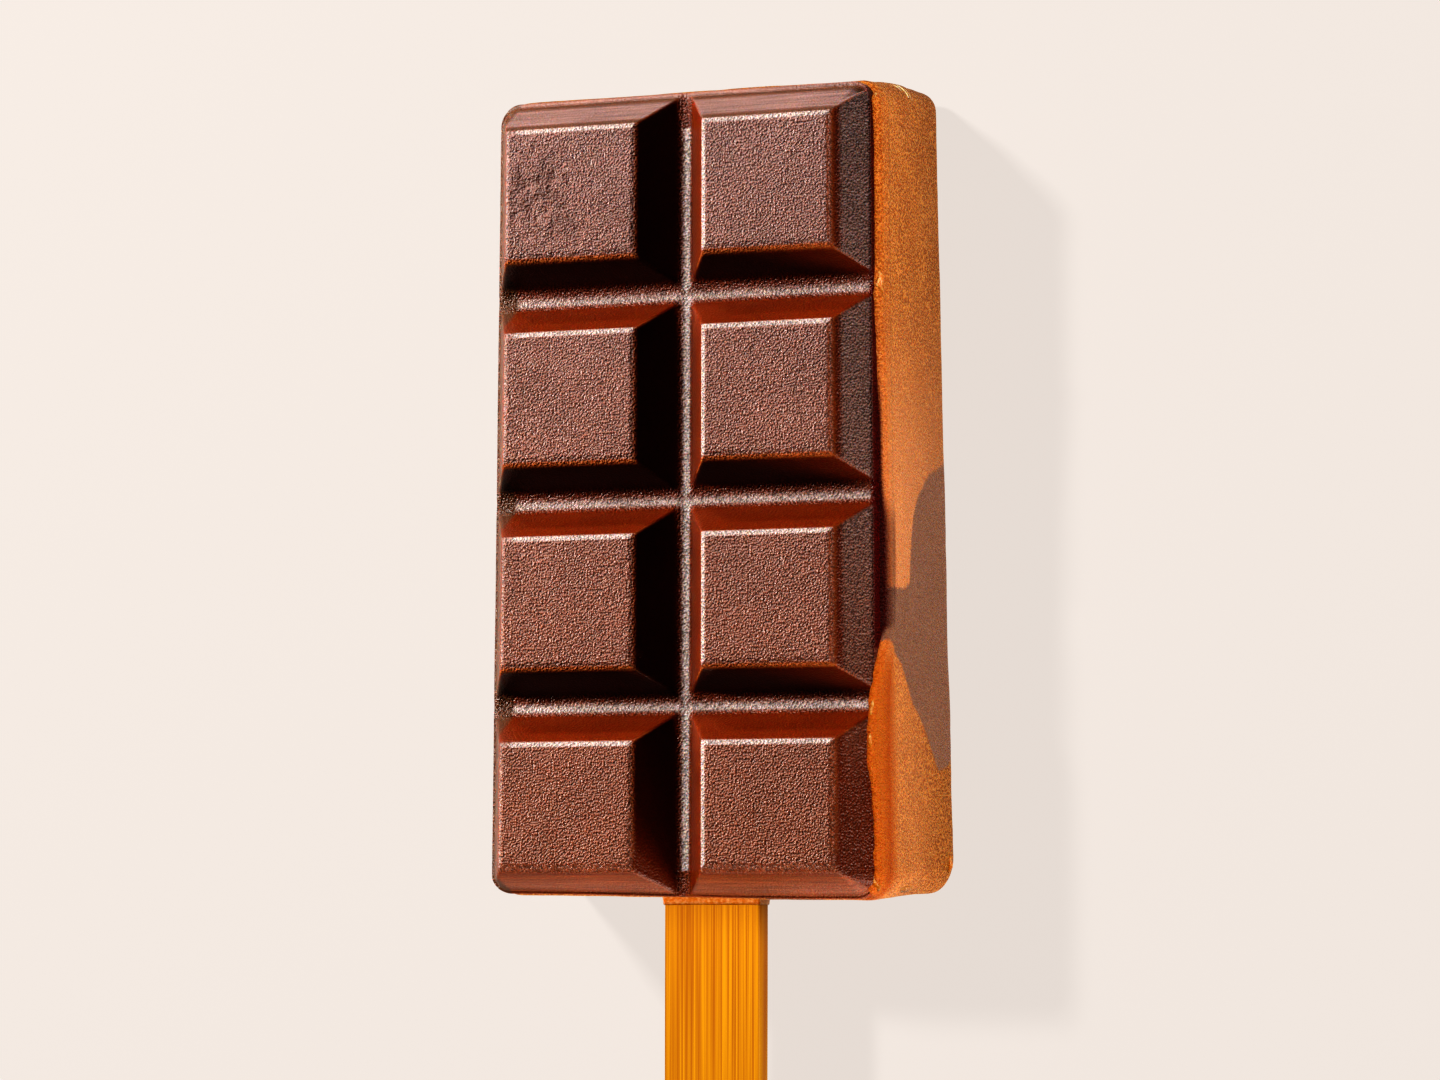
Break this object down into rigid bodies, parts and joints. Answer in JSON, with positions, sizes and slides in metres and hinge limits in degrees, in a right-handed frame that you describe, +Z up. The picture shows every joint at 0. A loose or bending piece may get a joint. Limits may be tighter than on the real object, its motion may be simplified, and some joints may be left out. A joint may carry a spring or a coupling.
{
  "type": "chocolate lollipop",
  "caption": "Bar of moulded dark chocolate segments on a caramel layer, held by a flat wooden stick.",
  "frame": {"origin": "middle of the bounding box, on the surface that the lollipop lies on", "axes": "+X across the bar to the side with the caramel lip, +Y along the bar away from the stick's free end, +Z up out of the moulded chocolate face"},
  "size_m": [0.0398, 0.1378, 0.0214],
  "materials": {
    "chocolate": "dark moulded chocolate with a soft sheen and a fine leathery grain on the segments",
    "caramel": "satin caramel with a fine grain and brown marbling",
    "stick_wood": "smooth golden wood, grain along the stick"
  },
  "bodies": {
    "root": {"chocolate_plate": "chocolate", "caramel_body": "caramel", "stick": "stick_wood"}
  },
  "joints": []
}
